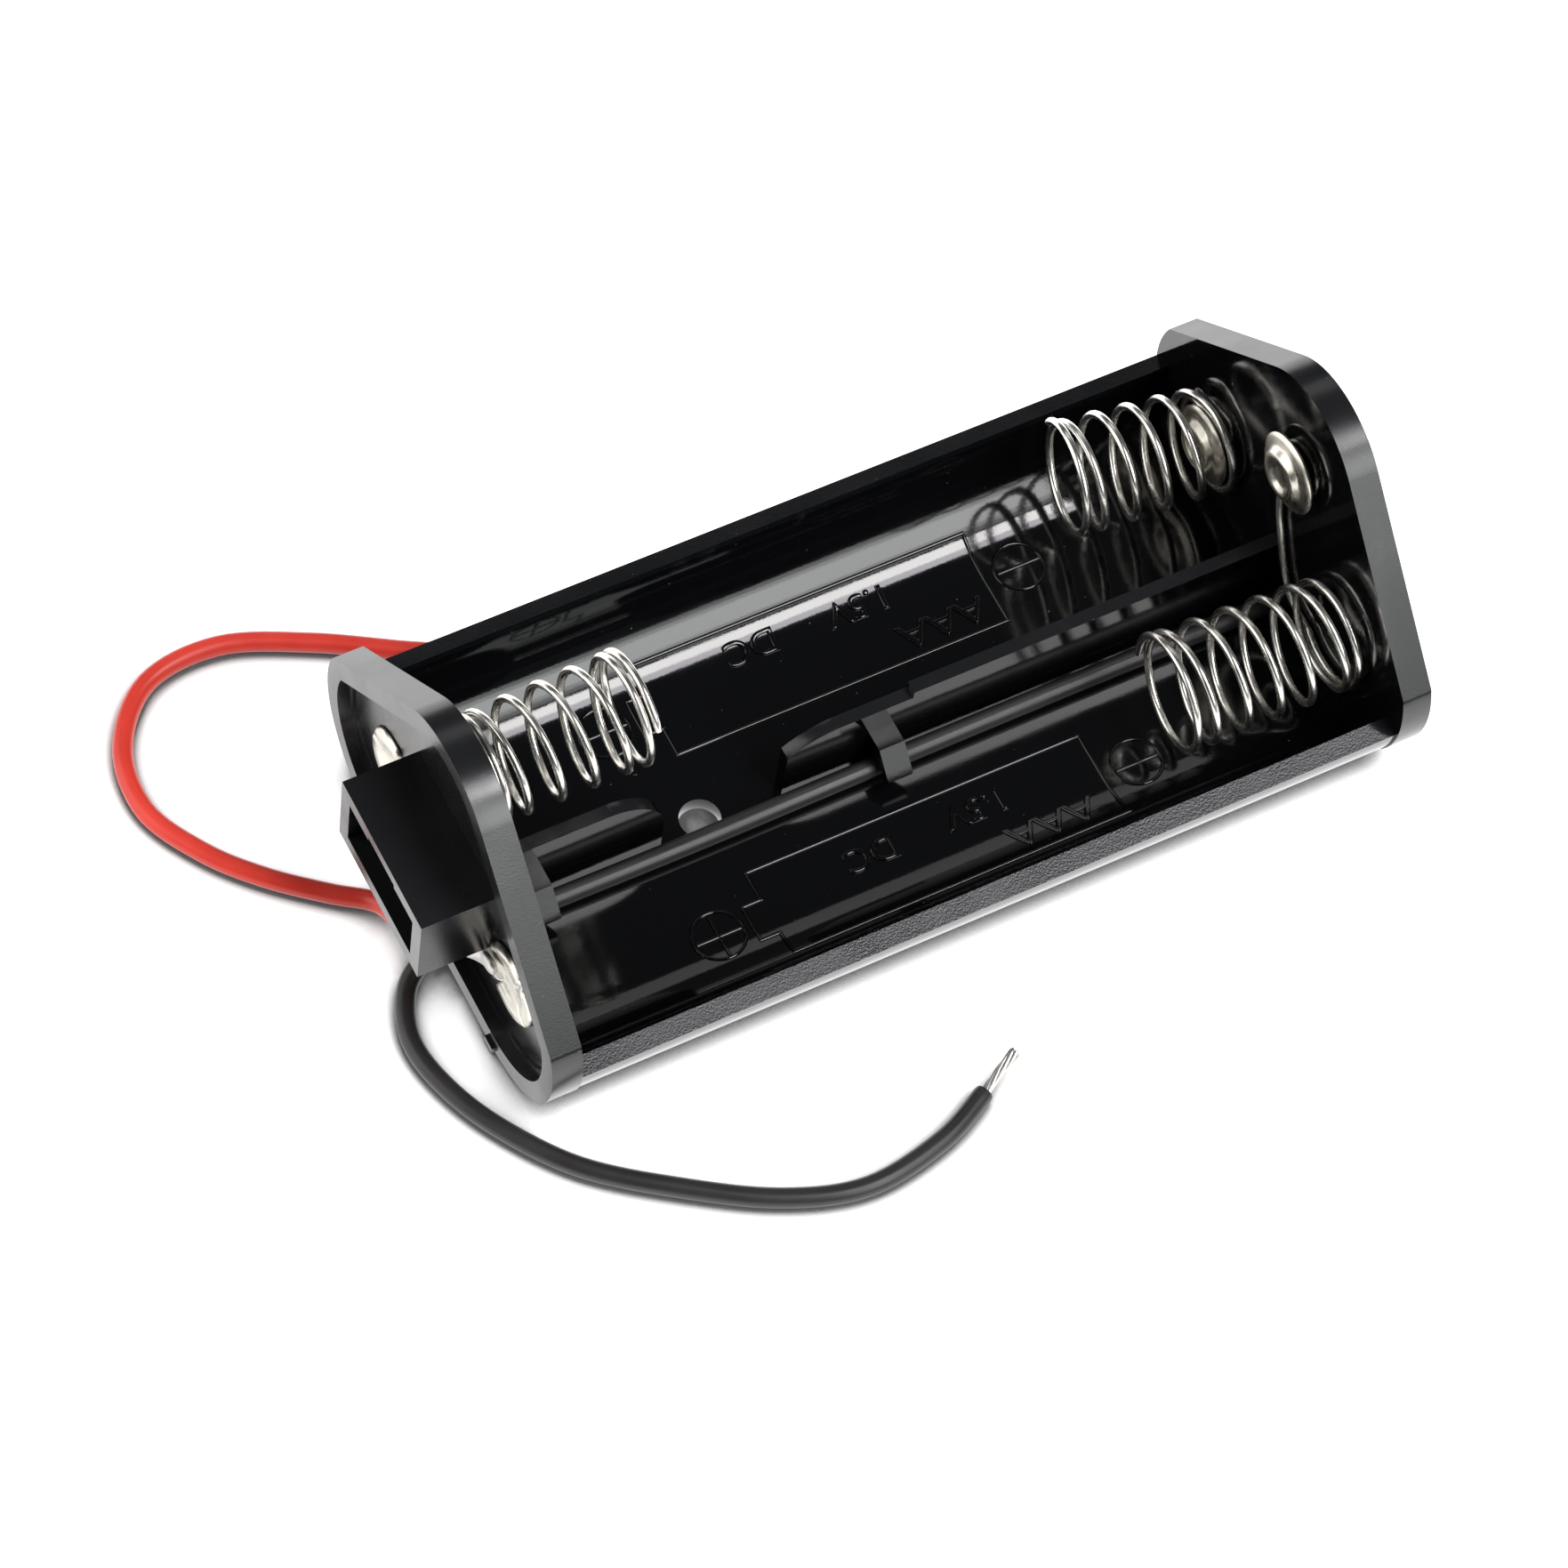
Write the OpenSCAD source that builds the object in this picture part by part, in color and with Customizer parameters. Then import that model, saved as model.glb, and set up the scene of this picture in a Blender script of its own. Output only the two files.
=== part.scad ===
// Holder for three AAA cells: two side by side, one nested above, with two flying leads.
// Frame: +X along the cells (hood end at -X), +Z up, base on z = 0, origin under the middle.

/* [Moulding] */
// Clear length between the inner faces of the end plates
bay_length = 48.5; // [47.5:0.1:50]
// Thickness of each end plate, rim included
plate_t = 1.75; // [1.5:0.05:2.5]
// Depth of the recess in the outer face of an end plate
recess_depth = 0.96; // [0.6:0.02:1.2]
// Width of the rim round that recess
rim_w = 1.2; // [0.8:0.1:2]
// Width of the small ledge inside the rim
ledge_w = 0.3; // [0.2:0.05:0.6]
// Depth of that ledge
ledge_depth = 0.75; // [0.5:0.05:0.9]
// Half width of the flat base of an end plate, where the corner circles start
plate_corner_y = 6.8; // [6.5:0.1:7.5]
// Height of the corner circles
plate_corner_z = 6.5; // [6:0.1:7]
// Height of the circle that rounds the top
plate_top_z = 13.95; // [13:0.05:15]
// Radius of the circle that rounds the top
plate_top_r = 5.55; // [5:0.05:6]

/* [Bays] */
// Distance of a lower cell axis from the middle plane
cell_y = 6.8; // [6:0.1:7.5]
// Height of a lower cell axis, and of the rim of the outer walls
cell_z = 6.3; // [6:0.1:6.8]
// Inner radius of an outer wall
bay_r = 5.3; // [5.2:0.05:5.6]
// Thickness of the floor
floor_t = 1; // [0.8:0.1:1.6]
// Distance of the centre of an outer wall's outer face from the middle plane
wall_y = 6.85; // [6.5:0.05:7.5]
// Fall of the rim's top face towards the outside
rim_fall = 0.3; // [0.1:0.05:0.6]
// Diameter of the fixing hole in the floor
hole_d = 2.3; // [2:0.1:3.2]
// Distance of the fixing hole from the left end
hole_x = 15.7; // [14.5:0.1:19]

/* [Web] */
// Thickness of the central web
web_t = 0.75; // [0.6:0.05:1.2]
// Height of the web
web_top = 6.3; // [5.5:0.1:7]
// Length of the left part's flat top, from the left end
web_left_flat = 9.7; // [8:0.1:10]
// Radius of the left part's rounded end
web_left_r = 3.5; // [2:0.1:5]
// Start of the right part, from the left end
web_right_x = 20.4; // [18:0.1:24]
// Radius of the right part's rounded start
web_right_r = 5; // [3:0.1:5]
// Drop of the lower part of the right web
web_step_h = 0.55; // [0.3:0.05:1]
// Place of the step up, from the left end
web_step_x = 27.8; // [26:0.1:32]

/* [Wire clips] */
// Height of the top of a clip
clip_top = 3.7; // [3.3:0.1:4.5]
// Thickness of a clip
clip_t = 0.65; // [0.5:0.05:0.9]
// Reach of a clip's flat top from the middle plane
clip_flat = 1.55; // [1.4:0.05:2]
// Reach of a clip's nose
clip_reach = 2.85; // [2.5:0.05:3.2]
// Height of a clip's nose
clip_nose_z = 2.0; // [1.7:0.1:2.4]
// End of the clip at the left plate, from the left end
clip_left_end = 6; // [4:0.1:8]
// Start of the middle clip, from the left end
clip_mid_x = 25.4; // [24:0.1:32]
// Width of the middle clip
clip_mid_w = 1.5; // [1:0.1:3]

/* [Hood] */
// Reach of the hood beyond the left plate
hood_out = 3.4; // [2:0.1:5]
// Outside width of the hood
hood_w = 9.3; // [8:0.1:10]
// Height of the hood's underside
hood_z = 6.4; // [6:0.1:7]
// Outside height of the hood
hood_h = 5.3; // [4.5:0.1:6]
// Thickness of the hood's walls
hood_t = 0.95; // [0.7:0.05:1.2]
// Width of the thinned middle of the hood's top wall
hood_step_w = 3; // [2:0.1:5]
// Depth of that thinning
hood_step_d = 0.25; // [0.1:0.05:0.4]

/* [Rivets] */
// Radius of a rivet's shank
shank_r = 1.15; // [0.8:0.05:1.5]
// Radius of a rivet's inner flange
flange_r = 2.35; // [2:0.05:2.8]
// Thickness of the flange
flange_t = 0.3; // [0.2:0.05:0.5]
// Radius of the raised crown
crown_r = 1.5; // [1:0.1:2]
// Height of the raised crown above the plate
crown_h = 1.3; // [1:0.1:1.6]
// Radius of the peened tail
tail_r = 2.45; // [2:0.05:2.6]
// Thickness of the peened tail
tail_t = 0.35; // [0.2:0.05:0.6]
// Height of the upper bay's rivet
rivet_top_z = 13.4; // [13:0.1:14.5]
// Height of the lower bays' rivets
rivet_low_z = 6.15; // [5.8:0.05:6.5]
// Distance of the lower bays' rivets from the middle plane
rivet_y = 6.9; // [6.5:0.05:7.2]

/* [Springs and leads] */
// Diameter of the spring wire
wire_d = 0.4; // [0.35:0.01:0.5]
// Coil radius of the far spring at the plate, to the middle of the wire
a_base_r = 2.8; // [2.65:0.05:3]
// Coil radius of the far spring at its tip
a_tip_r = 3.05; // [2.5:0.05:3.2]
// Coil radius of the near spring at the plate
b_base_r = 3; // [2.7:0.05:3.2]
// Coil radius of the near spring at its tip
b_tip_r = 3.25; // [2.7:0.05:3.3]
// Coil radius of the upper spring at the plate
c_base_r = 2.8; // [2.7:0.05:3.1]
// Coil radius of the upper spring at its tip
c_tip_r = 3; // [2.7:0.05:3.3]
// Pitch of the far spring's open turns
a_pitch = 2.015; // [1.8:0.005:2.2]
// Pitch of the near spring's open turns
b_pitch = 1.975; // [1.8:0.005:2.2]
// Pitch of the upper spring's open turns
c_pitch = 1.87; // [1.7:0.01:2]
// Diameter of the leads over their insulation
lead_d = 1.1; // [1:0.05:1.3]
// Diameter of the tinned strands at the lead ends
strand_d = 0.6; // [0.4:0.05:0.8]

/* [Hidden] */
$fn = 96;
eps = 0.01;
coil_sides = 8;
coil_steps = 16;
lead_sides = 8;
drop_lift = 0.28;
body_len = bay_length + 2 * plate_t;
x_left = hood_out - (body_len + hood_out) / 2;
x_right = x_left + body_len;
face_left = x_left + plate_t;
face_right = x_right - plate_t;
pit_left = x_left + recess_depth;
pit_right = x_right - recess_depth;
slope_sum = plate_top_z + sqrt(2) * plate_top_r;
wall_r = cell_z;
lead_r = lead_d / 2;
lead_y = -1.3;
lead_z = floor_t + lead_r + 0.02;
lead_hole_r = lead_r + 0.07;
big = 60;
black_body = "#141415";
steel = "#c9cacd";
brass = "#c8b27a";
tin = "#b9bcc0";

// Springs: turns are [closed at the plate, open, close at the tip], places are [y, z].
closed_pitch = wire_d + 0.06;
eye_steps = 10;
eye_r = shank_r + wire_d / 2 + 0.05;
seat = wire_d / 2 + 0.02;
seat_right = face_right - seat;
seat_left = face_left + seat;
a_rivet = [rivet_y, rivet_low_z];
c_rivet = [0, rivet_top_z];
a_way_out = [-0.3, 2.2];
a_base = a_rivet + [-0.05, 0.2];
a_tip = [rivet_y + 0.25, rivet_low_z + 2.25];
a_tip_angle = 20;
a_turns = [0.8, 4.25, 0.95];
a_tip_pitch = closed_pitch;
a_lean = 0.156;
b_base = [-cell_y + 0.3, cell_z + 0.2];
b_tip = [-cell_y + 0.45, cell_z + 0.83];
b_tip_angle = -15;
b_turns = [1.2, 4.65, 1.04];
b_tip_pitch = closed_pitch + 0.1;
b_lean = 0.062;
b_link = [[0.25, 11.2], [0.05, 10.4], [-0.75, 9.3], [-1.6, 7.5], [-2.35, 5.9], [-3.1, 4.8], [-3.9, 4.3]];
c_base = [1, rivet_top_z + 1.1];
c_tip = [1, rivet_top_z + 1.5];
c_tip_angle = 150;
c_turns = [2, 4, 1.417];
c_tip_pitch = closed_pitch + 0.08;
c_link = [[6.0, 8.0], [5.3, 9.3], [4.5, 11.0], [3.95, 13.0], [3.84, 14.0]];

// Route of the black lead: solder end, through the clips, out on the table.
black_route = [
    [26.2, -1.3, lead_z],
    [15.7, -1.25, lead_z],
    [2.0, -1.3, lead_z],
    [-10.0, -1.4, lead_z],
    [-20.0, -1.35, lead_z],
    [-24.2, -1.35, lead_z],
    [-25.6, -1.5, 1.1],
    [-27.1, -2.6, 0.6],
    [-28.1, -5.2, 0.6],
    [-27.7, -8.2, 0.6],
    [-26.2, -11.6, 0.6],
    [-23.4, -15.4, 0.6],
    [-19.3, -18.6, 0.6],
    [-14.7, -21.4, 0.6],
    [-10.3, -22.7, 0.6],
    [-5.6, -22.0, 0.6],
    [-2.3, -20.5, 0.6]
];
black_tip = [
    [-2.3, -20.5, 0.6],
    [-1.2, -19.9, 0.7],
    [0.2, -19.2, 1.0]
];

// Route of the red lead: solder end, under the hood, round to the back of the holder.
// Each x is a distance from the holder's left end.
red_way = [
    [-0.2, -3.6, 4.9],
    [-0.9, -2.2, 3.7],
    [-1.5, 0.2, 2.1],
    [-2.0, 2.6, 0.9],
    [-4.0, 4.3, 0.6],
    [-6.7, 6.6, 0.6],
    [-9.0, 9.3, 0.6],
    [-10.7, 12.8, 0.6],
    [-10.2, 16.7, 0.6],
    [-7.4, 19.8, 0.6],
    [-3.0, 20.3, 0.6],
    [1.7, 18.4, 0.6],
    [6.2, 15.8, 0.6],
    [10.0, 13.9, 0.6],
    [13.5, 13.2, 0.6]
];
red_end_way = [
    [13.5, 13.2, 0.6],
    [15.0, 13.1, 0.6],
    [16.5, 13.1, 0.6]
];
red_route = [for (q = red_way) [x_left + q[0], q[1], q[2]]];
red_tip = [for (q = red_end_way) [x_left + q[0], q[1], q[2]]];

// ---- Swept tubes ----

function unit(v) = v / norm(v);
function mix(a, b, t) = a + (b - a) * t;
function last(p) = len(p) - 1;

// Direction of a path at point i
function along(p, i) = unit(p[min(i + 1, last(p))] - p[max(i - 1, 0)]);

// The side vector v kept square to direction d
function square_to(v, d) = unit(v - (v * d) * d);

// Side vectors carried along the path without twist
function sides_of(p, v0) = [
    for (i = 0, v = square_to(v0, along(p, 0)); i <= last(p);
        i = i + 1, v = i <= last(p) ? square_to(v, along(p, i)) : v) v
];

// A smooth run of points through the route, n per gap
function smooth_point(a, b, c, d, t) =
    0.5 * (2 * b + (c - a) * t + (2 * a - 5 * b + 4 * c - d) * t * t
        + (3 * b - a - 3 * c + d) * t * t * t);
function smooth(p, n) = concat(
    [for (i = [0 : last(p) - 1]) for (k = [0 : n - 1])
        smooth_point(p[max(i - 1, 0)], p[i], p[i + 1], p[min(i + 2, last(p))], k / n)],
    [p[last(p)]]);

// A closed tube with s sides along path p. Radius r is one value, or one for each point,
// and q flattens it along the side vector in the same way.
module tube(p, r, s, v0, q = 1) {
    v = sides_of(p, v0);
    n = len(p);
    points = [for (i = [0 : n - 1]) for (k = [0 : s - 1])
        let (w = cross(along(p, i), v[i]), ri = is_list(r) ? r[i] : r, qi = is_list(q) ? q[i] : q)
            p[i] + ri * (qi * cos(360 * k / s) * v[i] + sin(360 * k / s) * w)];
    skin = [for (i = [0 : n - 2]) for (k = [0 : s - 1])
        for (f = [[i * s + k, i * s + (k + 1) % s, (i + 1) * s + k],
                [i * s + (k + 1) % s, (i + 1) * s + (k + 1) % s, (i + 1) * s + k]]) f];
    start_cap = [[for (k = [0 : s - 1]) s - 1 - k]];
    end_cap = [[for (k = [0 : s - 1]) (n - 1) * s + k]];
    polyhedron(points = points, faces = [for (f = concat(skin, start_cap, end_cap))
        [for (j = [len(f) - 1 : -1 : 0]) f[j]]], convexity = 10);
}

// ---- Springs ----

// Distance from the seat after u turns: closed turns at the plate, open turns, close turns at the tip
function rise(u, closed, open, pitch, tip_pitch) =
    u < closed ? closed_pitch * u
        : u < closed + open ? closed_pitch * closed + pitch * (u - closed)
            : closed_pitch * closed + pitch * open + tip_pitch * (u - closed - open);

// Coil points from the plate out to a tip at angle tip_a.
// base and tip are [y, z] of the axis at the two ends, turns is [closed, open, tip].
// lean tips the open turns along the axis by that much a mm of y.
function coil(x0, dir, base, tip, r0, r1, tip_a, turns, pitch, tip_pitch, lean) =
    let (all = turns[0] + turns[1] + turns[2], n = round(all * coil_steps))
        [for (k = [0 : n])
            let (u = all * k / n, t = u / all, a = tip_a + dir * 360 * (u - all),
                r = mix(r0, r1, t), c = mix(base, tip, t),
                tipped = lean * max(0, min(1, u - turns[0])))
                [x0 + dir * rise(u, turns[0], turns[1], pitch, tip_pitch) + tipped * r * cos(a),
                    c[0] + r * cos(a), c[1] + r * sin(a)]];

// Points of a flat eye round a rivet shank, from angle a0 to angle a1
function eye(x0, c, a0, a1) =
    [for (k = [0 : eye_steps])
        let (a = mix(a0, a1, k / eye_steps)) [x0, c[0] + eye_r * cos(a), c[1] + eye_r * sin(a)]];

// Points of a wire laid flat on a plate along a [y, z] route
function laid(x0, route) = [for (q = route) [x0, q[0], q[1]]];

module spring_a() {
    color(steel)
        tube(concat(
            eye(seat_right, a_rivet, 400, 150),
            laid(seat_right, [a_rivet + a_way_out]),
            coil(seat_right, -1, a_base, a_tip, a_base_r, a_tip_r, a_tip_angle, a_turns,
                a_pitch, a_tip_pitch, a_lean)),
            wire_d / 2, coil_sides, [1, 0, 0]);
}

module spring_b_link() {
    color(steel)
        tube(concat(
            eye(seat_right, c_rivet, 600, 330),
            laid(seat_right, b_link),
            coil(seat_right, -1, b_base, b_tip, b_base_r, b_tip_r, b_tip_angle, b_turns,
                b_pitch, b_tip_pitch, b_lean)),
            wire_d / 2, coil_sides, [1, 0, 0]);
}

module spring_c_link() {
    color(steel)
        tube(concat(
            eye(seat_left, a_rivet, -150, 120),
            laid(seat_left, c_link),
            coil(seat_left, 1, c_base, c_tip, c_base_r, c_tip_r, c_tip_angle, c_turns,
                c_pitch, c_tip_pitch, 0)),
            wire_d / 2, coil_sides, [1, 0, 0]);
}

// ---- Rivets ----

// Rivet along +X: origin on the plate's inner face, crown towards +X
module rivet() {
    gap = wire_d + 0.04;
    shank_len = plate_t - recess_depth;
    color(brass)
        rotate([0, 90, 0])
            rotate_extrude()
                polygon([
                    [0, -shank_len - tail_t],
                    [tail_r, -shank_len - tail_t],
                    [tail_r, -shank_len],
                    [shank_r, -shank_len],
                    [shank_r, gap],
                    [flange_r, gap],
                    [flange_r, gap + flange_t],
                    [crown_r + 0.25, gap + flange_t],
                    [crown_r, crown_h],
                    [crown_r - 0.45, crown_h],
                    [crown_r - 0.6, crown_h - 0.25],
                    [0, crown_h - 0.25]
                ]);
}

module rivet_right(y, z) {
    translate([face_right, y, z])
        mirror([1, 0, 0])
            rivet();
}

module rivet_left(y, z) {
    translate([face_left, y, z])
        rivet();
}

module rivet_a_negative() {
    rivet_right(rivet_y, rivet_low_z);
}

module rivet_c_positive() {
    rivet_right(0, rivet_top_z);
}

module rivet_a_positive() {
    rivet_left(rivet_y, rivet_low_z);
}

module rivet_b_positive() {
    rivet_left(-rivet_y, rivet_low_z);
}

// ---- Solder ----

// Solder on a rivet tail and the tinned conductor in it: a tube that swells and flattens.
// Each row is [x, y, z, radius, flattening].
module solder_run(rows) {
    color(tin)
        tube([for (a = rows) [a[0], a[1], a[2]]], [for (a = rows) a[3]], 12, [1, 0, 0],
            [for (a = rows) a[4]]);
}

module solder_red() {
    x = pit_left - tail_t - drop_lift;
    y = -rivet_y;
    z = rivet_low_z;
    hood_y = -hood_w / 2;
    r = strand_d / 2;
    solder_run([
        [x, y + 1.0, z + 0.45, 0.15, 0.6],
        [x, y + 1.15, z + 0.35, 0.5, 0.45],
        [x, hood_y - 0.7, z + 0.05, 0.75, 0.35],
        [x, hood_y - 0.25, hood_z - 0.55, 0.7, 0.36],
        [x - 0.1, hood_y + 0.15, hood_z - 0.85, 0.42, 0.6],
        [x - 0.28, hood_y + 0.65, hood_z - 1.2, r, 1],
        concat(red_route[0], [r, 1])
    ]);
}

module solder_black() {
    x = pit_right + tail_t + drop_lift;
    floor_x = pit_right + strand_d / 2 + 0.02;
    y = rivet_y;
    z = rivet_low_z;
    r = strand_d / 2;
    solder_run([
        [x, y - 0.9, z - 0.15, 0.15, 0.6],
        [x, y - 1.1, z - 0.25, 0.5, 0.5],
        [x, y - 1.5, z - 0.5, 0.75, 0.36],
        [x, y - 2.0, z - 0.8, 0.6, 0.44],
        [x - 0.08, y - 2.6, z - 1.15, 0.32, 0.8],
        [floor_x, y - 3.3, z - 1.6, r, 1],
        [floor_x, 1.4, 3.2, r, 1],
        [floor_x, -0.4, 2.1, r, 1],
        [floor_x - 0.08, -0.95, 1.75, r, 1],
        [pit_right - 0.1, lead_y, lead_z, r, 1],
        concat(black_route[0], [r, 1])
    ]);
}

// ---- Leads ----

module black_lead() {
    color("#1b1b1d")
        tube(smooth(black_route, 2), lead_r, lead_sides, [0, 0, 1]);
}

module black_lead_strands() {
    color(tin)
        tube(smooth(black_tip, 2), strand_d / 2, lead_sides, [0, 0, 1]);
}

module red_lead() {
    color("#b3271f")
        tube(smooth(red_route, 2), lead_r, lead_sides, [0, 0, 1]);
}

module red_lead_strands() {
    color(tin)
        tube(smooth(red_tip, 2), strand_d / 2, lead_sides, [0, 0, 1]);
}

// ---- The moulding ----

// Turn a drawing in the Y-Z plane into a slab from x0 to x1
module slab_x(x0, x1) {
    translate([x0, 0, 0])
        rotate([90, 0, 90])
            linear_extrude(height = x1 - x0)
                children();
}

// Turn a drawing in the X-Z plane into a slab of thickness t about the middle plane
module slab_y(t) {
    translate([0, t / 2, 0])
        rotate([90, 0, 0])
            linear_extrude(height = t)
                children();
}

// Outline of an end plate, drawn in by inset
module plate_outline(inset) {
    r = plate_corner_z - inset;
    s = slope_sum - sqrt(2) * inset - plate_corner_y - plate_corner_z;
    root = sqrt(2 * r * r - s * s);
    cy = plate_corner_y + (s + root) / 2;
    cz = plate_corner_z + (s - root) / 2;
    top_r = plate_top_r - inset;
    ty = top_r / sqrt(2);
    tz = plate_top_z + ty;
    polygon([
        [-plate_corner_y, inset], [plate_corner_y, inset],
        [cy, cz], [ty, tz], [-ty, tz], [-cy, cz]
    ]);
    for (side = [-1, 1])
        intersection() {
            translate([side * plate_corner_y, plate_corner_z])
                circle(r = r);
            polygon([
                [-side * big, -big], [side * big, -big],
                [side * (big + cy), cz - big], [side * (cy - big), cz + big],
                [-side * big, cz + big]
            ]);
        }
    translate([0, plate_top_z])
        circle(r = top_r);
}

// One end plate: outer face at x = 0, inner face at x = plate_t
module end_plate() {
    difference() {
        slab_x(0, plate_t)
            plate_outline(0);
        slab_x(-eps, ledge_depth)
            plate_outline(rim_w);
        slab_x(0, recess_depth)
            plate_outline(rim_w + ledge_w);
    }
}

// Section of the floor and the two outer walls
module bay_section() {
    edge_y = cell_y + bay_r;
    wall_t = wall_y + wall_r - edge_y;
    past = 2 * wall_t;
    translate([-cell_y, 0])
        square([2 * cell_y, floor_t]);
    for (side = [-1, 1])
        difference() {
            intersection() {
                translate([side * wall_y, cell_z])
                    circle(r = wall_r);
                polygon([
                    [side * cell_y, -past],
                    [side * (edge_y + past), -past],
                    [side * (edge_y + past), cell_z - rim_fall * past / wall_t],
                    [side * edge_y, cell_z],
                    [side * cell_y, cell_z]
                ]);
            }
            translate([side * cell_y, cell_z])
                circle(r = bay_r);
        }
}

// Side view of the left part of the web
module web_left() {
    x0 = x_left + recess_depth;
    x1 = x_left + web_left_flat;
    translate([x0, floor_t / 2])
        square([x1 - x0, web_top - floor_t / 2]);
    translate([x1 - eps, floor_t / 2])
        square([web_left_r + eps, web_top - web_left_r - floor_t / 2]);
    intersection() {
        translate([x1, web_top - web_left_r])
            circle(r = web_left_r);
        translate([x1 - eps, web_top - web_left_r - eps])
            square([big, big]);
    }
}

// Side view of the right part of the web
module web_right() {
    low = web_top - web_step_h;
    cx = x_left + web_right_x + 0.64 * web_right_r;
    x0 = x_left + web_right_x;
    x2 = x_left + web_step_x;
    intersection() {
        translate([cx, low - web_right_r])
            circle(r = web_right_r);
        translate([x0, floor_t / 2])
            square([cx - x0 + eps, big]);
    }
    translate([cx, floor_t / 2])
        square([face_right - cx + eps, low - floor_t / 2]);
    translate([x2, floor_t / 2])
        square([face_right - x2 + eps, web_top - floor_t / 2]);
}

// Section of a wire clip on the web's near side
module clip_section() {
    polygon([
        [0, clip_top],
        [-clip_flat, clip_top],
        [-clip_reach, clip_nose_z + 0.35],
        [-clip_reach + 0.1, clip_nose_z],
        [-clip_reach + 0.45, clip_nose_z],
        [-clip_flat + 0.25, clip_top - clip_t],
        [0, clip_top - clip_t]
    ]);
}

// The hood: a rectangular tube open at its outer end
module hood() {
    x0 = x_left - hood_out;
    in_w = hood_w - 2 * hood_t;
    in_h = hood_h - 2 * hood_t;
    difference() {
        translate([x0, -hood_w / 2, hood_z])
            cube([hood_out + recess_depth + eps, hood_w, hood_h]);
        translate([x0 - eps, -in_w / 2, hood_z + hood_t])
            cube([hood_out + recess_depth + eps, in_w, in_h]);
        translate([x0 - eps, -hood_step_w / 2, hood_z + hood_t])
            cube([hood_out + recess_depth + eps, hood_step_w, in_h + hood_step_d]);
    }
}

// Bore along X through a plate
module bore_x(x, y, z, r) {
    translate([x - plate_t - eps, y, z])
        rotate([0, 90, 0])
            cylinder(r = r, h = 2 * plate_t + 2 * eps);
}

module holder_body() {
    color(black_body)
        difference() {
            union() {
                translate([x_left, 0, 0])
                    end_plate();
                translate([x_right, 0, 0])
                    mirror([1, 0, 0])
                        end_plate();
                slab_x(face_left - eps, face_right + eps)
                    bay_section();
                slab_y(web_t) {
                    web_left();
                    web_right();
                }
                slab_x(face_left - eps, x_left + clip_left_end)
                    clip_section();
                slab_x(x_left + clip_mid_x, x_left + clip_mid_x + clip_mid_w)
                    clip_section();
                hood();
            }
            bore_x(face_left, rivet_y, rivet_low_z, shank_r);
            bore_x(face_left, -rivet_y, rivet_low_z, shank_r);
            bore_x(face_right, rivet_y, rivet_low_z, shank_r);
            bore_x(face_right, 0, rivet_top_z, shank_r);
            bore_x(face_left, lead_y, lead_z, lead_hole_r);
            bore_x(face_right, lead_y, lead_z, lead_hole_r);
            translate([x_left + hole_x, 0, -eps])
                cylinder(d = hole_d, h = floor_t + 2 * eps);
        }
}

holder_body();
spring_a();
spring_b_link();
spring_c_link();
rivet_a_negative();
rivet_c_positive();
rivet_a_positive();
rivet_b_positive();
solder_red();
solder_black();
black_lead();
black_lead_strands();
red_lead();
red_lead_strands();
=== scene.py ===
# %% [markdown]
# # Three-cell holder with flying leads: the looks
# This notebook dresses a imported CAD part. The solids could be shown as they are. Here finer pieces
# stand for them at the same places, because thin wires, small rounds and the marks in the bays carry
# the likeness.

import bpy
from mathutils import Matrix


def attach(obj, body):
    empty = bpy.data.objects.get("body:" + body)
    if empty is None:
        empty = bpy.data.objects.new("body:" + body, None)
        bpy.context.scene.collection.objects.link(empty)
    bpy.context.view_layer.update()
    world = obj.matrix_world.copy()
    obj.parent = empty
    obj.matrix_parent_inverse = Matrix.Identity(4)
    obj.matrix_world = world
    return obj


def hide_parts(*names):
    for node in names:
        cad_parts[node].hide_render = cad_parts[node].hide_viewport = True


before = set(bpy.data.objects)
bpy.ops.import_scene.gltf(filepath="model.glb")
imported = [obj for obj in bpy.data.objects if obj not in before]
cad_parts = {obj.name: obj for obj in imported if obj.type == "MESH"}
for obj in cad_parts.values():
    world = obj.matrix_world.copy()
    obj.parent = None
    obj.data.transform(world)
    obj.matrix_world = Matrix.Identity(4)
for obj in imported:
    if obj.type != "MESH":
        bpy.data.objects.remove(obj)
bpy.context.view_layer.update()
print("CAD nodes:", sorted(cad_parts))

# %% [markdown]
# ## Units
# Blender counts in metres, and a small moulding is drawn in millimetres. All the sizes below are in
# millimetres, and MM turns them into metres when a mesh is made. Scaling the objects would also do,
# but a finished piece stays unscaled, so that its patterns keep their size.

# %% Units
import math

import bmesh
import bpy
from mathutils import Matrix, Vector, noise

MM = 0.001
print("one millimetre is", MM, "m")

# %% [markdown]
# ## The camera
# A long lens looks down on the holder from the hood's side. The view direction comes from an azimuth
# and an elevation, and the roll tilts the picture. A constraint could aim the camera at a target,
# but three angles and a place fix it outright.

# %% Camera
azimuth, elevation, roll = (math.radians(a) for a in (-36.79, 60.643, -10.801))
back = Vector((math.sin(azimuth) * math.cos(elevation), -math.cos(azimuth) * math.cos(elevation),
               math.sin(elevation)))
level_right = Vector((math.cos(azimuth), math.sin(azimuth), 0))
level_up = back.cross(level_right)
right = math.cos(roll) * level_right - math.sin(roll) * level_up
up = math.sin(roll) * level_right + math.cos(roll) * level_up
camera = bpy.data.objects.new("camera", bpy.data.cameras.new("camera"))
camera.data.lens = 137.962
camera.data.sensor_width = 36
camera.data.clip_start, camera.data.clip_end = 0.01, 20
turn = Matrix((right, up, back)).transposed().to_4x4()
camera.matrix_world = Matrix.Translation(Vector((-97.67, -125.85, 280.37)) * MM) @ turn
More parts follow.
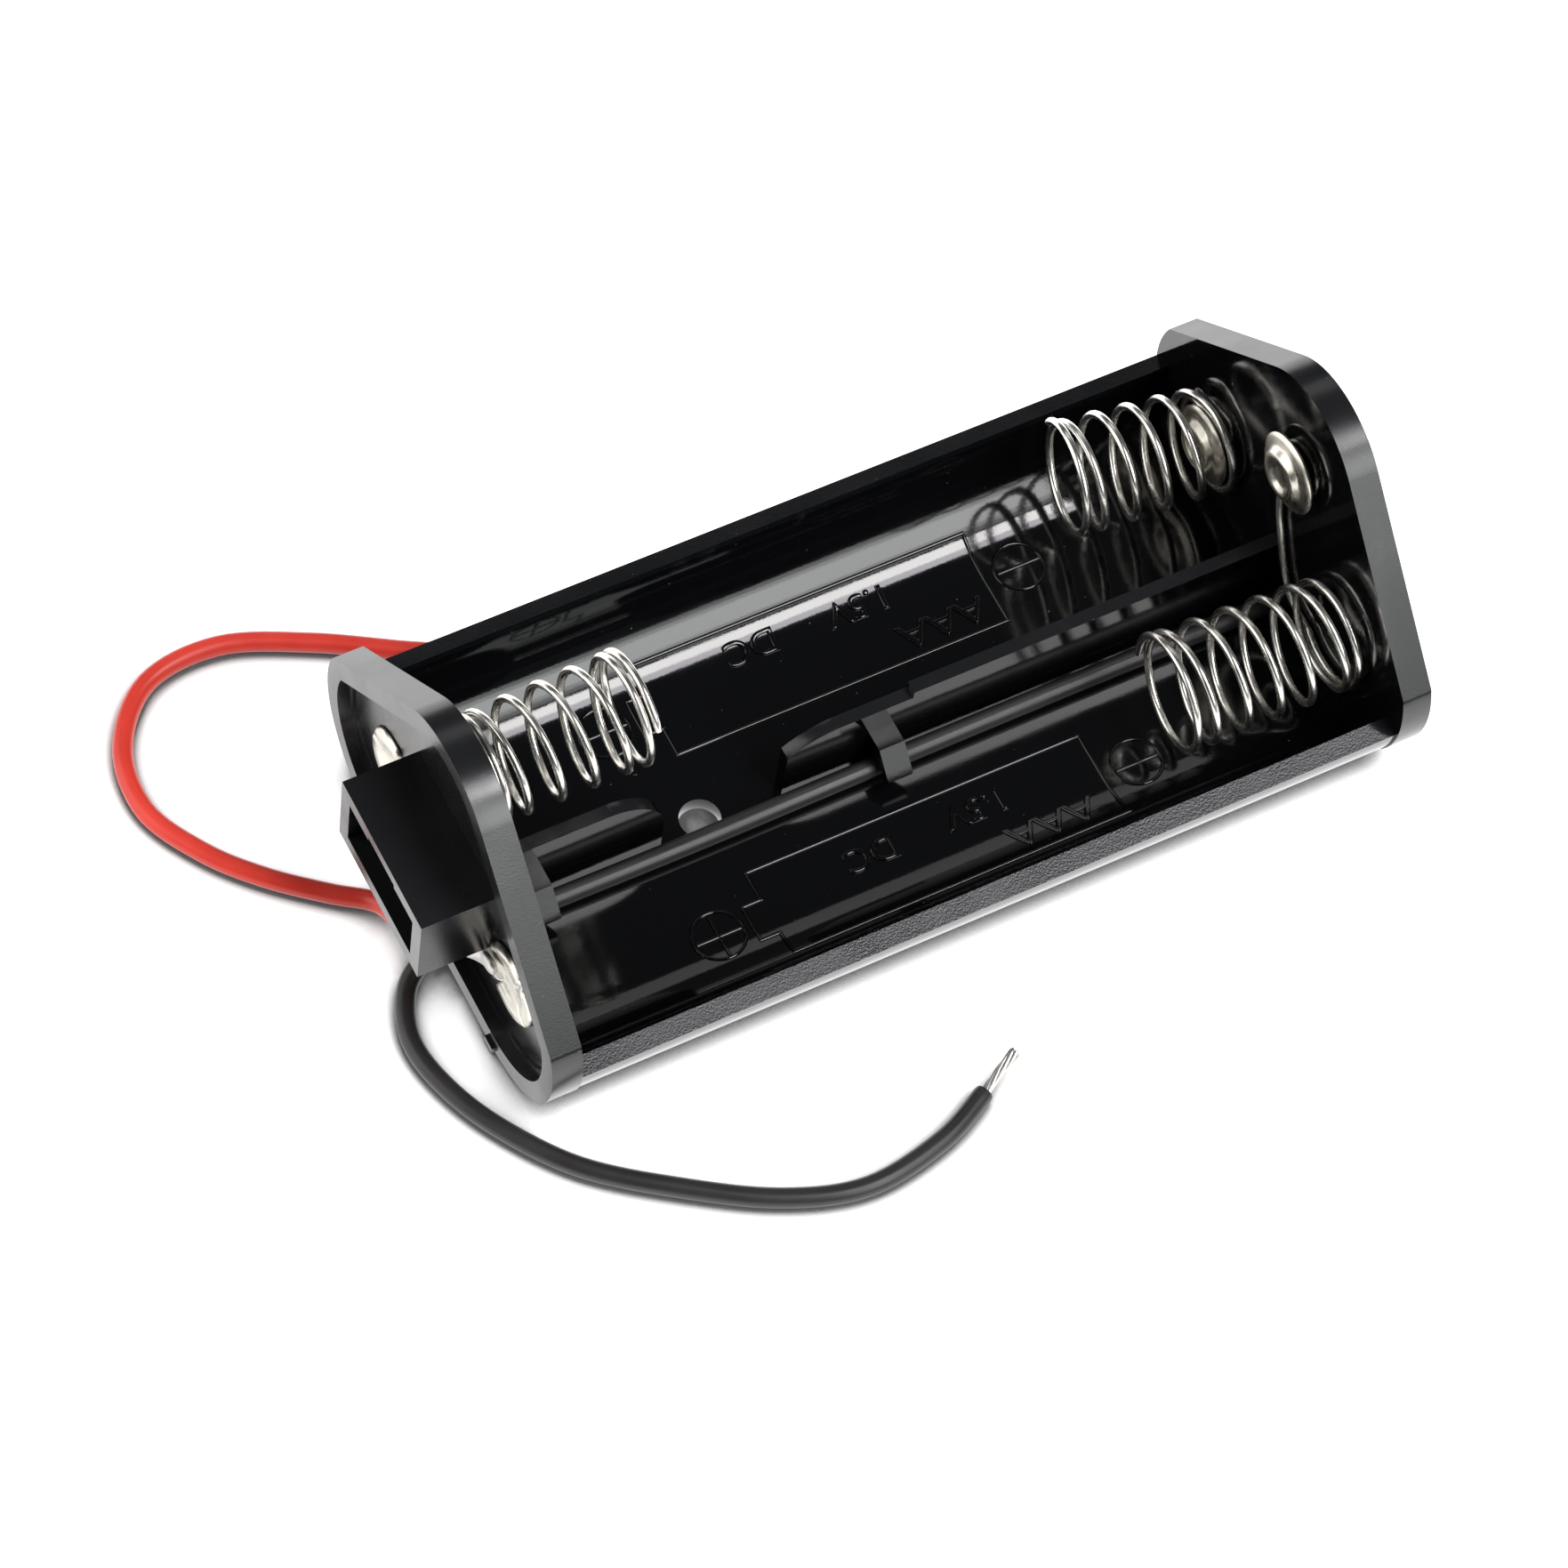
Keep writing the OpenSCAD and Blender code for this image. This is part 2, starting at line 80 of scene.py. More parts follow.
bpy.context.scene.collection.objects.link(camera)
bpy.context.scene.camera = camera
print("camera distance, mm:", round(camera.location.length / MM, 1))

# %% [markdown]
# ## Swept pieces
# Leads, springs and solder are all drawn out along a path. A curve with a round bevel would also
# make a wire. Here a ring of points is carried along the path: it starts as a circle with a cap,
# each step extrudes its edges, and the last ring is closed. That gives a closed mesh at once, and
# the ring can grow, shrink or flatten on its way, as solder does.

# %% A smooth run through a few route points
def smooth_run(route, steps):
    """Points of a smooth line through the route, with that many steps between two points."""
    route = [Vector(p) for p in route]
    run = []
    for i in range(len(route) - 1):
        a, b = route[max(i - 1, 0)], route[i]
        c, d = route[i + 1], route[min(i + 2, len(route) - 1)]
        for k in range(steps):
            t = k / steps
            run.append(0.5 * (2 * b + (c - a) * t + (2 * a - 5 * b + 4 * c - d) * t * t
                              + (3 * b - a - 3 * c + d) * t ** 3))
    return run + [route[-1]]


# %% Sweep a ring along a path
def stations(points, radii, flats, side):
    """The placing of the ring at each point. The side vector is carried along without a twist."""
    places = []
    for i, p in enumerate(points):
        ahead = (points[min(i + 1, len(points) - 1)] - points[max(i - 1, 0)]).normalized()
        side = (side - side.dot(ahead) * ahead).normalized()
        turn = Matrix((side, ahead.cross(side), ahead)).transposed().to_4x4()
        r = radii[i] * MM
        places.append(Matrix.Translation(p * MM) @ turn
                      @ Matrix.Diagonal((r * flats[i], r, r, 1)))
    return places


def add_sweep(bm, points, radius, sides=16, side=(0, 0, 1), flat=1.0):
    """Adds a closed sweep to a mesh being made. radius and flat are one value, or one a point."""
    points = [Vector(p) for p in points]
    radii = radius if isinstance(radius, list) else [radius] * len(points)
    flats = flat if isinstance(flat, list) else [flat] * len(points)
    places = stations(points, radii, flats, Vector(side))
    ring = bmesh.ops.create_circle(bm, cap_ends=True, radius=1, segments=sides, matrix=places[0])
    edges = list({e for v in ring["verts"] for e in v.link_edges})
    for before, after in zip(places, places[1:]):
        grown = bmesh.ops.extrude_edge_only(bm, edges=edges)["geom"]
        verts = [g for g in grown if isinstance(g, bmesh.types.BMVert)]
        edges = [g for g in grown if isinstance(g, bmesh.types.BMEdge)]
        bmesh.ops.transform(bm, matrix=after @ before.inverted(), verts=verts)
    bmesh.ops.contextual_create(bm, geom=edges)


# %% Turn a mesh into a piece
def make_piece(name, bm, smooth_angle=40):
    """Turns a finished mesh into a piece of the scene, shaded smooth up to that angle."""
    bmesh.ops.recalc_face_normals(bm, faces=bm.faces)
    for face in bm.faces:
        face.smooth = True
    for edge in bm.edges:
        flat_enough = edge.calc_face_angle(0) < math.radians(smooth_angle)
        edge.smooth = len(edge.link_faces) < 2 or flat_enough
    mesh = bpy.data.meshes.new(name)
    bm.to_mesh(mesh)
    bm.free()
    piece = bpy.data.objects.new(name, mesh)
    bpy.context.scene.collection.objects.link(piece)
    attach(piece, "root")
    print(name, "faces:", len(mesh.polygons))
    return piece


# %% [markdown]
# ## The leads
# The black lead leaves its hole in the right plate, runs through the clips and out on the table.
# The red lead comes down from the left plate and curls round behind the holder. A limp lead could
# be left to a physics run. A route of a few points is steadier, and it rests on the table where its
# height is its own radius.

# %% Lead routes
LEAD_R = 0.55
LAID = 0.6
black_route = [
    (26.2, -1.3, 1.57), (15.7, -1.25, 1.57), (2.0, -1.3, 1.57), (-10.0, -1.4, 1.57),
    (-20.0, -1.35, 1.57), (-24.2, -1.35, 1.57), (-25.6, -1.5, 1.1), (-27.1, -2.6, LAID),
    (-28.1, -5.2, LAID), (-27.7, -8.2, LAID), (-26.2, -11.6, LAID), (-23.4, -15.4, LAID),
    (-19.3, -18.6, LAID), (-14.7, -21.4, LAID), (-10.3, -22.7, LAID), (-5.6, -22.0, LAID),
    (-2.3, -20.5, LAID)]
red_route = [
    (-24.7, -3.1, 4.6), (-25.2, -2.2, 3.7), (-25.8, 0.2, 2.1), (-26.3, 2.6, 0.9),
    (-28.3, 4.3, LAID), (-31.0, 6.6, LAID), (-33.3, 9.3, LAID), (-35.0, 12.8, LAID),
    (-34.5, 16.7, LAID), (-31.7, 19.8, LAID), (-27.3, 20.3, LAID), (-22.6, 18.4, LAID),
    (-18.1, 15.8, LAID), (-14.3, 13.9, LAID), (-10.8, 13.2, LAID)]
black_tip = [(-2.3, -20.5, LAID), (-1.2, -19.9, 0.7), (0.2, -19.2, 1.0)]
red_tip = [(-10.8, 13.2, LAID), (-9.3, 13.1, LAID), (-7.8, 13.1, LAID)]


def run_length(points):
    return sum((b - a).length for a, b in zip(points, points[1:]))


print("route points:", len(black_route), "black,", len(red_route), "red")

# %% [markdown]
# ## Bare strands
# Where the insulation is stripped, seven thin strands show: one in the middle and six wound round
# it. They could be one plain rod with a bump. Separate sweeps catch the light one by one, and they
# spread a little towards the end, as cut strands do.

# %% Strands and insulation
STRAND_OUT, STRAND_THIN = 0.185, 0.1


def add_strands(bm, core):
    """Seven strands along a core path, wound round it."""
    for k in range(7):
        out = 0 if k == 0 else STRAND_OUT
        strand = []
        for i, p in enumerate(core):
            ahead = (core[min(i + 1, len(core) - 1)] - core[max(i - 1, 0)]).normalized()
            across = ahead.cross(Vector((0, 0, 1))).normalized()
            a = math.radians(60 * k + 9 * i)
            loose = 1 + 0.25 * (i / len(core)) ** 2
            strand.append(p + loose * out * (math.cos(a) * across + math.sin(a) * across.cross(ahead)))
        add_sweep(bm, strand, [STRAND_THIN] * (len(strand) - 1) + [0.07], 8)


def make_lead(name, route, tip):
    run = smooth_run(route, 8)
    bm = bmesh.new()
    add_sweep(bm, run, [LEAD_R * 0.93] + [LEAD_R] * (len(run) - 2) + [LEAD_R * 0.93], 24)
    lead = make_piece(name + "_insulation", bm)
    bm = bmesh.new()
    core = smooth_run(tip, 10)
    add_strands(bm, [core[0] - (core[1] - core[0]).normalized() * 0.4] + core)
    strands = make_piece(name + "_bare_strands", bm)
    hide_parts(name)
    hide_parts(name + "_strands")
    print(name, "length, mm:", round(run_length(run), 1))
    return lead, strands


black_lead, black_strands = make_lead("black_lead", black_route, black_tip)
red_lead, red_strands = make_lead("red_lead", red_route, red_tip)

# %% [markdown]
# ## The springs
# Each spring is one wire: an eye round a rivet, closed turns on the plate, open turns, and close
# turns at the tip. Two of them run on along the plate as a link to the neighbouring bay. A screw
# modifier makes an even coil, but these were bent by hand: each axis droops or rises a little and
# each coil widens, so the wire's path is worked out and swept.

# %% Where the wires lie
FACE_LEFT, FACE_RIGHT = -22.55, 25.95
RIVET_Y, RIVET_LOW_Z, RIVET_TOP_Z = 6.9, 6.15, 13.4
WIRE_R = 0.22
CLOSED = 2 * WIRE_R + 0.02
SEAT_RIGHT, SEAT_LEFT = FACE_RIGHT - WIRE_R - 0.02, FACE_LEFT + WIRE_R + 0.02
print("wire diameter, mm:", 2 * WIRE_R)


# %% Coils, eyes and links
def rise(u, closed, open_turns, pitch, tip_pitch):
    """How far a coil has risen from its plate after u turns."""
    if u < closed:
        return CLOSED * u
    if u < closed + open_turns:
        return CLOSED * closed + pitch * (u - closed)
    return CLOSED * closed + pitch * open_turns + tip_pitch * (u - closed - open_turns)


def coil(x0, direction, base, tip, r0, r1, tip_angle, turns, pitch, tip_pitch, lean=0.0, steps=40):
    """Points from the plate out to a tip at that angle. turns is closed, open, tip."""
    total = sum(turns)
    n = round(total * steps)
    points = []
    for k in range(n + 1):
        u = total * k / n
        t = u / total
        a = math.radians(tip_angle + direction * 360 * (u - total))
        r = r0 + (r1 - r0) * t
        y, z = (b + (e - b) * t for b, e in zip(base, tip))
        tipped = lean * max(0, min(1, u - turns[0]))
        x = x0 + direction * rise(u, turns[0], turns[1], pitch, tip_pitch) + tipped * r * math.cos(a)
        points.append((x, y + r * math.cos(a), z + r * math.sin(a)))
    return points


def eye(x0, centre, a0, a1, r=1.42, steps=24):
    """A wire's eye round a rivet, from one angle to another."""
    return [(x0, centre[0] + r * math.cos(math.radians(a0 + (a1 - a0) * k / steps)),
             centre[1] + r * math.sin(math.radians(a0 + (a1 - a0) * k / steps)))
            for k in range(steps + 1)]


def laid(x0, route):
    """A wire that lies on a plate, through a few y, z places."""
    return [tuple(p) for p in smooth_run([(x0, y, z) for y, z in route], 6)][1:-1]


def make_spring(name, points):
    bm = bmesh.new()
    radii = [WIRE_R * 0.8] + [WIRE_R] * (len(points) - 2) + [WIRE_R * 0.8]
    add_sweep(bm, points, radii, 14, side=(1, 0, 0))
    spring = make_piece(name + "_wire", bm)
    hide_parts(name)
    return spring


# %% The far lower spring
low_rivet = (RIVET_Y, RIVET_LOW_Z)
a_coil = coil(SEAT_RIGHT, -1, (6.85, 6.35), (7.15, 8.4), 2.8, 3.05, 20, (0.8, 4.25, 0.95), 2.015,
              CLOSED, 0.156)
a_eye = eye(SEAT_RIGHT, low_rivet, 400, 150)
a_way = laid(SEAT_RIGHT, [a_eye[-1][1:], (6.6, 8.35), a_coil[0][1:]])
spring_a = make_spring("spring_a", a_eye + a_way + a_coil)

# %% The near lower spring and its link
b_coil = coil(SEAT_RIGHT, -1, (-6.5, 6.5), (-6.35, 7.13), 3.0, 3.25, -15, (1.2, 4.65, 1.04), 1.975,
              CLOSED + 0.1, 0.062)
b_eye = eye(SEAT_RIGHT, (0, RIVET_TOP_Z), 600, 330)
b_link = [b_eye[-1][1:], (0.35, 11.2), (0.4, 10.3), (0.1, 9.0), (-0.5, 7.75), (-1.1, 6.5), (-1.8, 5.3),
          (-2.7, 4.4), (-3.8, 4.05), b_coil[0][1:]]
spring_b = make_spring("spring_b_link", b_eye + laid(SEAT_RIGHT, b_link) + b_coil)

# %% The upper spring and its link
c_coil = coil(SEAT_LEFT, 1, (1, 14.5), (1, 14.9), 2.8, 3.0, 150, (2, 4, 1.417), 1.87, CLOSED + 0.08)
c_eye = eye(SEAT_LEFT, low_rivet, -150, 120)
c_link = [c_eye[-1][1:], (6.0, 8.0), (5.3, 9.3), (4.5, 11.0), (3.95, 13.0), (3.84, 14.0), c_coil[0][1:]]
spring_c = make_spring("spring_c_link", c_eye + laid(SEAT_LEFT, c_link) + c_coil)

# %% [markdown]
# ## The rivets
# A rivet holds each wire: a flange and a dished crown inside, a shank through the plate, and a tail
# that was spread and split on the outside. It is turned work, so half its outline is spun about
# the shank. A lathe-like screw modifier would do as well, but the tail is then split vertex by
# vertex, and that needs the real mesh.

# %% Rivet outline
SHANK, FLANGE_LIFT, CROWN = 0.79, 0.48, 1.3


def rivet_outline():
    """Radius and height along half a rivet, from the crown's middle round to the tail's."""
    rim = FLANGE_LIFT + 0.3
    tail = -SHANK - 0.35
    return [(0, CROWN - 0.33), (0.55, CROWN - 0.3), (0.8, CROWN - 0.2), (0.95, CROWN - 0.05),
            (1.1, CROWN), (1.3, CROWN - 0.01), (1.45, CROWN - 0.1), (1.6, CROWN - 0.32),
            (1.78, rim + 0.1), (2.05, rim + 0.02), (2.25, rim - 0.06), (2.35, rim - 0.16),
            (2.32, FLANGE_LIFT + 0.04), (2.2, FLANGE_LIFT), (1.15, FLANGE_LIFT), (1.15, -SHANK),
            (2.3, -SHANK), (2.42, -SHANK - 0.08), (2.4, -SHANK - 0.22), (2.2, tail),
            (1.6, tail + 0.02), (1.3, tail + 0.1), (1.05, tail + 0.18), (0.6, tail + 0.2),
            (0, tail + 0.2)]


print("rivet height, mm:", round(CROWN + SHANK + 0.35, 2))


# %% Split the tail
def split_tail(bm, splits):
    """Opens cracks in the spread tail at those angles, in degrees. The rest stays a little uneven."""
    for v in bm.verts:
        r, h = v.co.xy.length / MM, v.co.z / MM
        a = math.degrees(math.atan2(v.co.y, v.co.x)) % 360
        if h < -SHANK - 0.01 and r > 0.5:
            wave = noise.noise(Vector((v.co.x, v.co.y, 0)) * 900) * 0.05
            v.co.z += max(0, wave + 0.02) * MM
            for s in splits:
                near = abs((a - s + 180) % 360 - 180)
                width = 7 + 3 * math.sin(s)
                if near < width and r > 1.0:
                    depth = (1 - near / width) * min(1, (r - 1.0) / 0.5)
                    v.co.z += 0.2 * depth * MM
                    if r > 2.0:
                        v.co.xy *= 1 - 0.12 * depth
        elif h > FLANGE_LIFT and r < 1.0:
            v.co.z += 0.03 * noise.noise(v.co * 1300) * MM


# %% Rivets
def make_rivet(name, x_face, direction, y, z, splits):
    """direction is +1 where the crown points to +X. splits are the tail's cracks, in degrees."""
    bm = bmesh.new()
    verts = [bm.verts.new((r * MM, 0, h * MM)) for r, h in rivet_outline()]
    edges = [bm.edges.new(pair) for pair in zip(verts, verts[1:])]
    bmesh.ops.spin(bm, geom=verts + edges, axis=(0, 0, 1), cent=(0, 0, 0), dvec=(0, 0, 0),
                   angle=math.tau, steps=72, use_merge=True, use_duplicate=False)
    bmesh.ops.remove_doubles(bm, verts=bm.verts, dist=1e-6)
    split_tail(bm, splits)
    turn = Matrix.Rotation(math.radians(90 * direction), 4, "Y")
    place = Matrix.Translation(Vector((x_face, y, z)) * MM)
    bmesh.ops.transform(bm, verts=bm.verts, matrix=place @ turn)
    rivet = make_piece(name + "_metal", bm, 50)
    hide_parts(name)
    return rivet


rivets = [
    make_rivet("rivet_a_negative", FACE_RIGHT, -1, RIVET_Y, RIVET_LOW_Z, (20, 110, 200, 290)),
    make_rivet("rivet_c_positive", FACE_RIGHT, -1, 0, RIVET_TOP_Z, (45, 130, 225, 315)),
    make_rivet("rivet_a_positive", FACE_LEFT, 1, RIVET_Y, RIVET_LOW_Z, (10, 100, 195, 285)),
    make_rivet("rivet_b_positive", FACE_LEFT, 1, -RIVET_Y, RIVET_LOW_Z, (35, 120, 215, 300))]

# %% [markdown]
# ## The solder
# Two rounded lumps sit on rivet tails, each running on along the tinned conductor to its lead. Metaballs
# flow like solder but are hard to steer. A sweep whose ring changes radius and flattening gives
# the same drop, and a little noise leaves its skin lumpy.

# %% Solder
PIT_LEFT, PIT_RIGHT = -23.34, 26.74
STRAND_R = 0.3
DROP_LIFT = 0.35 + 0.28


def make_solder(name, rows):
    """Each row is x, y, z, radius and flattening. The skin is left a little lumpy."""
    run = smooth_run([Vector(r[:3]) for r in rows], 6)
    shape = smooth_run([Vector((r[3], r[4], 0)) for r in rows], 6)
    bm = bmesh.new()
    add_sweep(bm, run, [s.x for s in shape], 20, side=(1, 0, 0), flat=[s.y for s in shape])
    for v in bm.verts:
        v.co += v.normal * 0.05 * noise.noise(v.co * 1400) * MM
    solder = make_piece(name + "_lump", bm, 80)
    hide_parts(name)
    return solder


# %% The two solder joints
x, y, z = PIT_LEFT - DROP_LIFT, -RIVET_Y, RIVET_LOW_Z
solder_red = make_solder("solder_red", [
    (x, y + 1.0, z + 0.45, 0.15, 0.6), (x, y + 1.15, z + 0.35, 0.5, 0.45),
    (x, -5.35, 6.2, 0.6, 0.4), (x, -4.9, 5.85, 0.5, 0.45),
    (x - 0.1, -4.5, 5.55, 0.42, 0.6), (x - 0.28, -4.0, 5.2, STRAND_R, 1),
    (*red_route[0], STRAND_R, 1)])
x, y = PIT_RIGHT + DROP_LIFT, RIVET_Y
pit_floor = PIT_RIGHT + STRAND_R + 0.02
solder_black = make_solder("solder_black", [
    (x, y - 0.9, z - 0.15, 0.15, 0.6), (x, y - 1.1, z - 0.25, 0.5, 0.5),
    (x, y - 1.5, z - 0.5, 0.75, 0.36), (x, y - 2.0, z - 0.8, 0.6, 0.44),
    (x - 0.08, y - 2.6, z - 1.15, 0.32, 0.8), (pit_floor, y - 3.3, z - 1.6, STRAND_R, 1),
    (pit_floor, 1.4, 3.2, STRAND_R, 1), (pit_floor, -0.4, 2.1, STRAND_R, 1),
    (pit_floor - 0.08, -0.95, 1.75, STRAND_R, 1), (PIT_RIGHT - 0.1, -1.3, 1.57, STRAND_R, 1),
    (*black_route[0], STRAND_R, 1)])

# %% [markdown]
# ## The moulding
# The body is one injection moulding, and its CAD mesh already has the right form. A fresh model
# would only drift from it, so the mesh is copied and its flat faces are merged. Then every sharp
# edge gets a small round, as a mould leaves it, and these rounds catch the thin lines of light.
# A nib of the gate is left under the left plate.

# %% Moulding with rounded edges
EDGE_ROUND, SHARP = 0.09, 28
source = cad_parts["holder_body"]
bm = bmesh.new()
bm.from_mesh(source.data)
bmesh.ops.transform(bm, verts=bm.verts, matrix=source.matrix_world)
bmesh.ops.remove_doubles(bm, verts=bm.verts, dist=2e-6)
bmesh.ops.dissolve_limit(bm, angle_limit=math.radians(0.3), verts=bm.verts, edges=bm.edges)
sharp = [e for e in bm.edges
         if len(e.link_faces) == 2 and e.calc_face_angle(0) > math.radians(SHARP)]
print("sharp edges:", len(sharp))
bmesh.ops.bevel(bm, geom=sharp, offset=EDGE_ROUND * MM, offset_type="OFFSET", segments=2,
                profile=0.5, affect="EDGES", material=-1, clamp_overlap=True, loop_slide=True)
nib = bmesh.ops.create_cube(bm, size=1.0 * MM)["verts"]
bmesh.ops.scale(bm, verts=nib, vec=(0.3, 0.9, 0.4))
bmesh.ops.translate(bm, verts=nib, vec=Vector((-24.36, -7.0, 0.28)) * MM)
moulding = make_piece("moulding", bm, 35)
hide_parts("holder_body")
weigh = moulding.modifiers.new("weigh", "WEIGHTED_NORMAL")
weigh.keep_sharp = True

# %% [markdown]
# ## Marks in the bays
# Raised lines show how a cell lies: its outline with the nub at the plus end, and the two signs.
# They could be cut into the moulding with booleans. A thin sweep that follows the bay's floor and
# then its round wall is lighter, and its half-round top shines as the real line does.

# %% The bay's surface
CELL_Y, CELL_Z, BAY_R, FLOOR_T = 6.8, 6.3, 5.3, 1.0


def on_bay(x, y, lift=0.0):
    """The point of the bay's surface above or below that place in the plan."""
    side, out = (1 if y > 0 else -1), abs(y) - CELL_Y
    if out <= 0:
        return Vector((x, y, FLOOR_T + lift))
    r = BAY_R - lift
    a = math.asin(min(1, out / BAY_R))
    return Vector((x, side * (CELL_Y + r * math.sin(a)), CELL_Z - r * math.cos(a)))


def inwards(point):
    """The direction from the bay's surface into the bay at that point."""
    if abs(point.y) < CELL_Y:
        return Vector((0, 0, 1))
    axis_y = math.copysign(CELL_Y, point.y)
    return Vector((0, axis_y - point.y, CELL_Z - point.z)).normalized()


def mark_line(bm, plan, width=0.12, high=0.8):
    """A raised line along plan points on the bay's surface."""
    for (x0, y0), (x1, y1) in zip(plan, plan[1:]):
        n = max(1, round(abs(y1 - y0) / 0.35))
        over = 0.5 * width / max(math.hypot(x1 - x0, y1 - y0), 1e-6)
        points = [on_bay(x0 + (x1 - x0) * t, y0 + (y1 - y0) * t)
                  for t in [-over + (1 + 2 * over) * k / n for k in range(n + 1)]]
        add_sweep(bm, points, width, 8, side=inwards(points[len(points) // 2]), flat=high)


# %% Cell outlines and signs
bm = bmesh.new()
x0, x1, x_nub = -7.9, 12.3, -9.0
for s in (1, -1):
    inner, outer, nub = 3.95 * s, 9.5 * s, 6.8 * s
    mark_line(bm, [(x0, inner), (x1, inner)])
    mark_line(bm, [(x1, inner), (x1, outer)])
    mark_line(bm, [(x1, outer), (x0, outer)])
    mark_line(bm, [(x0, outer), (x0, nub + 1.1 * s), (x_nub, nub + 1.1 * s),
                   (x_nub, nub - 1.1 * s), (x0, nub - 1.1 * s), (x0, inner)])
    for cx, r, plus in ((14.4, 1.42, False), (-10.9, 1.45, True)):
        ring = [on_bay(cx + r * math.cos(a), s * 6.7 + r * math.sin(a))
                for a in [math.tau * k / 40 for k in range(41)]]
        add_sweep(bm, ring, 0.11, 8, side=(0, 0, 1), flat=0.8)
        mark_line(bm, [(cx - 0.85 * r, s * 6.75), (cx + 0.85 * r, s * 6.75)], 0.12)
        if plus:
            mark_line(bm, [(cx, s * 6.75 - 0.85 * r), (cx, s * 6.75 + 0.85 * r)], 0.12)
marks = make_piece("bay_marks", bm, 60)

# %% [markdown]
# ## Letters
# The bays name the cell's size, its voltage and direct current, in raised strokes with rounded tops.
# A text object with a bevel gives the strokes. It is made a mesh first, cut across every 0.2 mm so
# that it can bend, and then each point is carried onto the bay's surface.

# %% Letters
def letter_mesh(text, size):
    """The strokes of a word, flat and centred, in millimetres."""
    curve = bpy.data.curves.new("word", "FONT")
    curve.body, curve.size = text, size
    curve.offset = -0.045
    curve.extrude = 0.04
    curve.bevel_depth = 0.09
    curve.bevel_resolution = 2
    curve.align_x = "CENTER"
    curve.align_y = "CENTER"
    shape = bpy.data.objects.new("word", curve)
    bpy.context.scene.collection.objects.link(shape)
    bpy.context.view_layer.update()
    mesh = bpy.data.meshes.new_from_object(shape.evaluated_get(bpy.context.evaluated_depsgraph_get()))
    bpy.data.objects.remove(shape)
    return mesh


def make_word(text, size, x, y, stretch):
    """A raised word on the bay's surface, read from the far side."""
    bm = bmesh.new()
    bm.from_mesh(letter_mesh(text, size))
    bmesh.ops.remove_doubles(bm, verts=bm.verts, dist=1e-5)
    for k in range(-6, 7):
        bmesh.ops.bisect_plane(bm, geom=bm.verts[:] + bm.edges[:] + bm.faces[:],
                               plane_co=(0, 0.2 * k, 0), plane_no=(0, 1, 0))
    for v in bm.verts:
        v.co = on_bay(x - v.co.x * stretch, y - v.co.y, v.co.z) * MM
    name = "word_" + text.replace(".", "_").lower() + ("_far" if y > 0 else "_near")
    return make_piece(name, bm, 65)


words = [make_word("AAA", 2.1, 8.9, 5.35, 1.25), make_word("1.5V", 1.9, 5.2, 8.1, 1.1),
         make_word("DC", 1.9, -1.4, 8.2, 1.15),
         make_word("AAA", 2.1, 8.4, -8.1, 1.25), make_word("1.5V", 1.9, 5.2, -5.55, 1.1),
         make_word("DC", 1.9, -1.3, -5.65, 1.15)]

# %% [markdown]
# ## Materials
# A material is a small tree of nodes. These helpers add the nodes that every finish here shares: a
# noise on object coordinates, a change of range, a bump and a mix of two colours. Pictures could
# give the same detail, but a noise has no seams and needs no unwrapping.

# %% Material helpers
def new_material(name):
    """A material with its tree, its shader and the object coordinates."""
    mat = bpy.data.materials.new(name)
    mat.use_nodes = True
    tree = mat.node_tree
    skin = tree.nodes["Principled BSDF"]
    place = tree.nodes.new("ShaderNodeTexCoord")
    print("material:", name)
    return mat, tree, skin, place.outputs["Object"]


def noise_node(tree, place, scale, detail=3.0, rough=0.5):
    node = tree.nodes.new("ShaderNodeTexNoise")
    node.inputs["Scale"].default_value = scale
    node.inputs["Detail"].default_value = detail
    node.inputs["Roughness"].default_value = rough
    tree.links.new(place, node.inputs["Vector"])
    return node.outputs["Fac"]


def spread(tree, value, low, high, to_low, to_high):
    """Maps a range of one value to another, clamped."""
    node = tree.nodes.new("ShaderNodeMapRange")
    for key, v in (("From Min", low), ("From Max", high), ("To Min", to_low), ("To Max", to_high)):
        node.inputs[key].default_value = v
    tree.links.new(value, node.inputs["Value"])
    return node.outputs["Result"]


def bump(tree, height, strength, distance, normal=None):
    node = tree.nodes.new("ShaderNodeBump")
    node.inputs["Strength"].default_value = strength
    node.inputs["Distance"].default_value = distance
    tree.links.new(height, node.inputs["Height"])
    if normal is not None:
        tree.links.new(normal, node.inputs["Normal"])
    return node.outputs["Normal"]


def colour_mix(tree, factor, a, b):
    node = tree.nodes.new("ShaderNodeMix")
    node.data_type = "RGBA"
    node.inputs["A"].default_value = (*a, 1)
    node.inputs["B"].default_value = (*b, 1)
    tree.links.new(factor, node.inputs["Factor"])
    return node.outputs["Result"]
